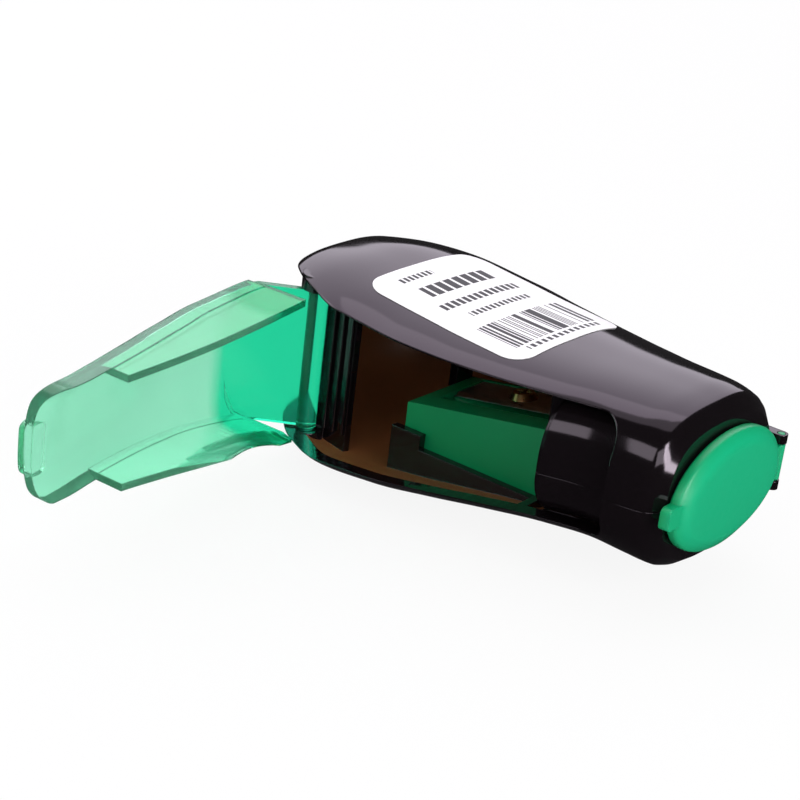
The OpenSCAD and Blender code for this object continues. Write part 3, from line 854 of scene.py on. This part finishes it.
def makeCap(mat):
    x0, steps = noseX + cap["gap"], cap["steps"]
    # profile of the disc from its back to the middle of its face: how far in, how far out
    profile = [(0.25, 0.0), (0.0, 0.25), (0.0, 1.15), (0.10, 1.45), (0.35, 1.75), (1.3, 2.35), (1.75, 2.62),
               (2.15, 2.80), (2.7, 2.9), (4.0, 3.0), (6.5, 3.08), (8.6, 3.1)]
    verts, faces = [], []
    for inward, out in profile:
        for i in range(steps):
            a = 2 * pi * i / steps
            verts.append((x0 + out, (cap["width"] / 2 - inward) * cos(a),
                          (cap["height"] / 2 - inward) * sin(a)))
    for k in range(len(profile) - 1):
        for i in range(steps):
            a, b = k * steps + i, k * steps + (i + 1) % steps
            faces.append((a, b, b + steps, a + steps))
    faces.append(tuple(range(steps)))
    last = (len(profile) - 1) * steps
    faces.append(tuple(last + i for i in range(steps)))
    disc = meshPiece("entryCap", verts, faces, mat)
    w, h = cap["width"] - 2 * shell["rimWidth"] - 0.8, cap["height"] - 2 * shell["rimWidth"] - 0.8
    plug = prism("plug", ringOutline(w, h), x0 - 1.3, x0 + 0.3, "x", mat)
    less(plug, prism("plugHole", ringOutline(w - 2, h - 2), x0 - 2, x0 + 0.05, "x", mat))
    plus(disc, plug)
    t = cap["thick"] * 0.55
    tabMiddle = (-cap["width"] / 2 - cap["tabLength"] / 2 + 0.75, 0)
    tabShape = roundBox(cap["tabLength"] + 1.5, cap["tabWidth"], 0.9, 6, tabMiddle)
    tab = prism("tab", tabShape, x0 + 0.2, x0 + 0.2 + t, "x", mat)
    strap = block("strap", (x0 + 0.2, cap["width"] / 2 - 1.5, -3), (x0 + 1.6, capHinge["y"], 3), mat)
    knuckle = rod("knuckle", (capHinge["x"], capHinge["y"], -3), cap["knuckle"], 6, "z", mat, 48)
    reach = capHinge["knuckle"] / 2 + capHinge["gap"] + capHinge["ear"]
    pin = rod("pin", (capHinge["x"], capHinge["y"], -reach), cap["pin"], 2 * reach, "z", mat, 32)
    return plus(disc, tab, strap, knuckle, pin)


capPiece = finishShading(makeCap(makeCapGreen()), 40)
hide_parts("entry_cap")
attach(capPiece, "cap")
print("cap made")

# block, blade and screw keep their CAD shape
for node, finish in (("sharpener_block", makeBlockGreen()), ("blade", makeSteel()),
                     ("blade_screw", makeBrass())):
    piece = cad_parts[node]
    for slot in piece.material_slots:
        slot.material = finish
    if not piece.material_slots:
        piece.data.materials.append(finish)
print("block finishes set")

# stage, lamps, camera
stage = {"size": 4.0, "floorDrop": 0.0001, "floor": (0.8, 0.8, 0.8), "skyLight": 0.3,
         "whiteShare": 0.9, "inShine": (0.03, 0.028, 0.03, 1), "skyInShine": 0.03}


def makeStage():
    low = cadBox[0][2] - stage["floorDrop"]
    mesh = bpy.data.meshes.new("floor")
    s = stage["size"] / 2
    mesh.from_pydata([(-s, -s, low), (s, -s, low), (s, s, low), (-s, s, low)], [], [(0, 1, 2, 3)])
    floor = bpy.data.objects.new("floor", mesh)
    bpy.context.scene.collection.objects.link(floor)
    f = Finish("floorPale", Roughness=0.9)
    f.shader.inputs["Base Color"].default_value = (*stage["floor"], 1)
    tree = f.tree
    seen = f.node("ShaderNodeLightPath", out="Is Camera Ray")
    shine = f.node("ShaderNodeLightPath", out="Is Glossy Ray")
    through = f.node("ShaderNodeLightPath", out="Is Transmission Ray")
    glow = tree.nodes.new("ShaderNodeEmission")
    glow.inputs[0].default_value = (1, 1, 1, 1)
    dark = tree.nodes.new("ShaderNodeEmission")
    dark.inputs[0].default_value = stage["inShine"]
    first, second = tree.nodes.new("ShaderNodeMixShader"), tree.nodes.new("ShaderNodeMixShader")
    white = (seen + through).least(1.0) * stage["whiteShare"]
    tree.links.new(white.socket, first.inputs[0])
    tree.links.new(f.shader.outputs[0], first.inputs[1])
    tree.links.new(glow.outputs[0], first.inputs[2])
    tree.links.new((shine * (1.0 - through)).socket, second.inputs[0])
    tree.links.new(first.outputs[0], second.inputs[1])
    tree.links.new(dark.outputs[0], second.inputs[2])
    tree.links.new(second.outputs[0], tree.nodes["Material Output"].inputs[0])
    mesh.materials.append(f.material)
    return floor


def makeSky():
    world = bpy.data.worlds.new("sky")
    bpy.context.scene.world = world
    world.use_nodes = True
    tree = world.node_tree
    back = tree.nodes["Background"]
    back.inputs[0].default_value = (1, 1, 1, 1)
    light = tree.nodes.new("ShaderNodeLightPath")
    sumUp = Wire(tree, light.outputs["Is Camera Ray"]) + Wire(tree, light.outputs["Is Transmission Ray"])
    white = sumUp.least(1.0)
    shine = Wire(tree, light.outputs["Is Glossy Ray"])
    strength = white + (1.0 - white) * (shine * stage["skyInShine"] + (1.0 - shine) * stage["skyLight"])
    tree.links.new(strength.socket, back.inputs[1])


lamps = {
    # name: place, aimed at, width, height, watts, colour
    "topSoft": ((-0.10, 0.25, 0.95), (0, 0, 0), 0.90, 0.60, 1.2, (1, 0.96, 1)),
    "farSoft": ((-0.50, 0.62, 0.75), (0, 0, 0), 1.50, 1.30, 9.8, (0.96, 0.90, 1)),
    "noseSoft": ((0.50, -0.10, 0.22), (0.02, 0, 0), 0.10, 0.45, 1.4, (1, 1, 1)),
    "rightSoft": ((0.90, -0.50, 0.50), (0, 0, 0), 0.60, 0.60, 2.5, (1, 1, 1)),
    "frontSoft": ((0.10, -0.60, 0.45), (-0.02, 0, 0), 0.50, 0.35, 1.1, (1, 1, 1)),
    "leftSoft": ((-0.55, -0.20, 0.40), (-0.04, -0.03, 0), 0.50, 0.50, 1.7, (1, 1, 1)),
}
for name, (spot, aim, wide, high, watts, colour) in lamps.items():
    lamp = bpy.data.lights.new(name, "AREA")
    lamp.shape = "RECTANGLE"
    lamp.size, lamp.size_y, lamp.energy, lamp.color = wide, high, watts, colour
    holder = bpy.data.objects.new(name, lamp)
    bpy.context.scene.collection.objects.link(holder)
    holder.location = spot
    holder.rotation_euler = (Vector(aim) - Vector(spot)).to_track_quat("-Z", "Y").to_euler()
makeStage()
makeSky()

view = {"azimuth": 36.0, "elevation": 22.6, "roll": 7.0, "lens": 90.0, "distance": 333.3,
        "shiftRight": -14.67, "shiftUp": 6.17}


def makeCamera():
    az, el, roll = (radians(view[k]) for k in ("azimuth", "elevation", "roll"))
    right = Vector((cos(az), sin(az), 0))
    back = Vector((sin(az) * cos(el), -cos(az) * cos(el), sin(el)))
    up = back.cross(right)
    right, up = right * cos(roll) + up * sin(roll), -right * sin(roll) + up * cos(roll)
    target = Vector(place([(0, -body["hingeSide"], 0)])[0])
    spot = target + (-right * view["shiftRight"] - up * view["shiftUp"] + back * view["distance"]) / 1000
    lens = bpy.data.cameras.new("camera")
    lens.lens, lens.sensor_width = view["lens"], 36.0
    lens.clip_start, lens.clip_end = 0.01, 10
    camera = bpy.data.objects.new("camera", lens)
    bpy.context.scene.collection.objects.link(camera)
    camera.matrix_world = Matrix((
        (right.x, up.x, back.x, spot.x), (right.y, up.y, back.y, spot.y),
        (right.z, up.z, back.z, spot.z), (0, 0, 0, 1)))
    bpy.context.scene.camera = camera


makeCamera()
bpy.context.scene.view_settings.view_transform = "Standard"
print("stage, lamps and camera set")
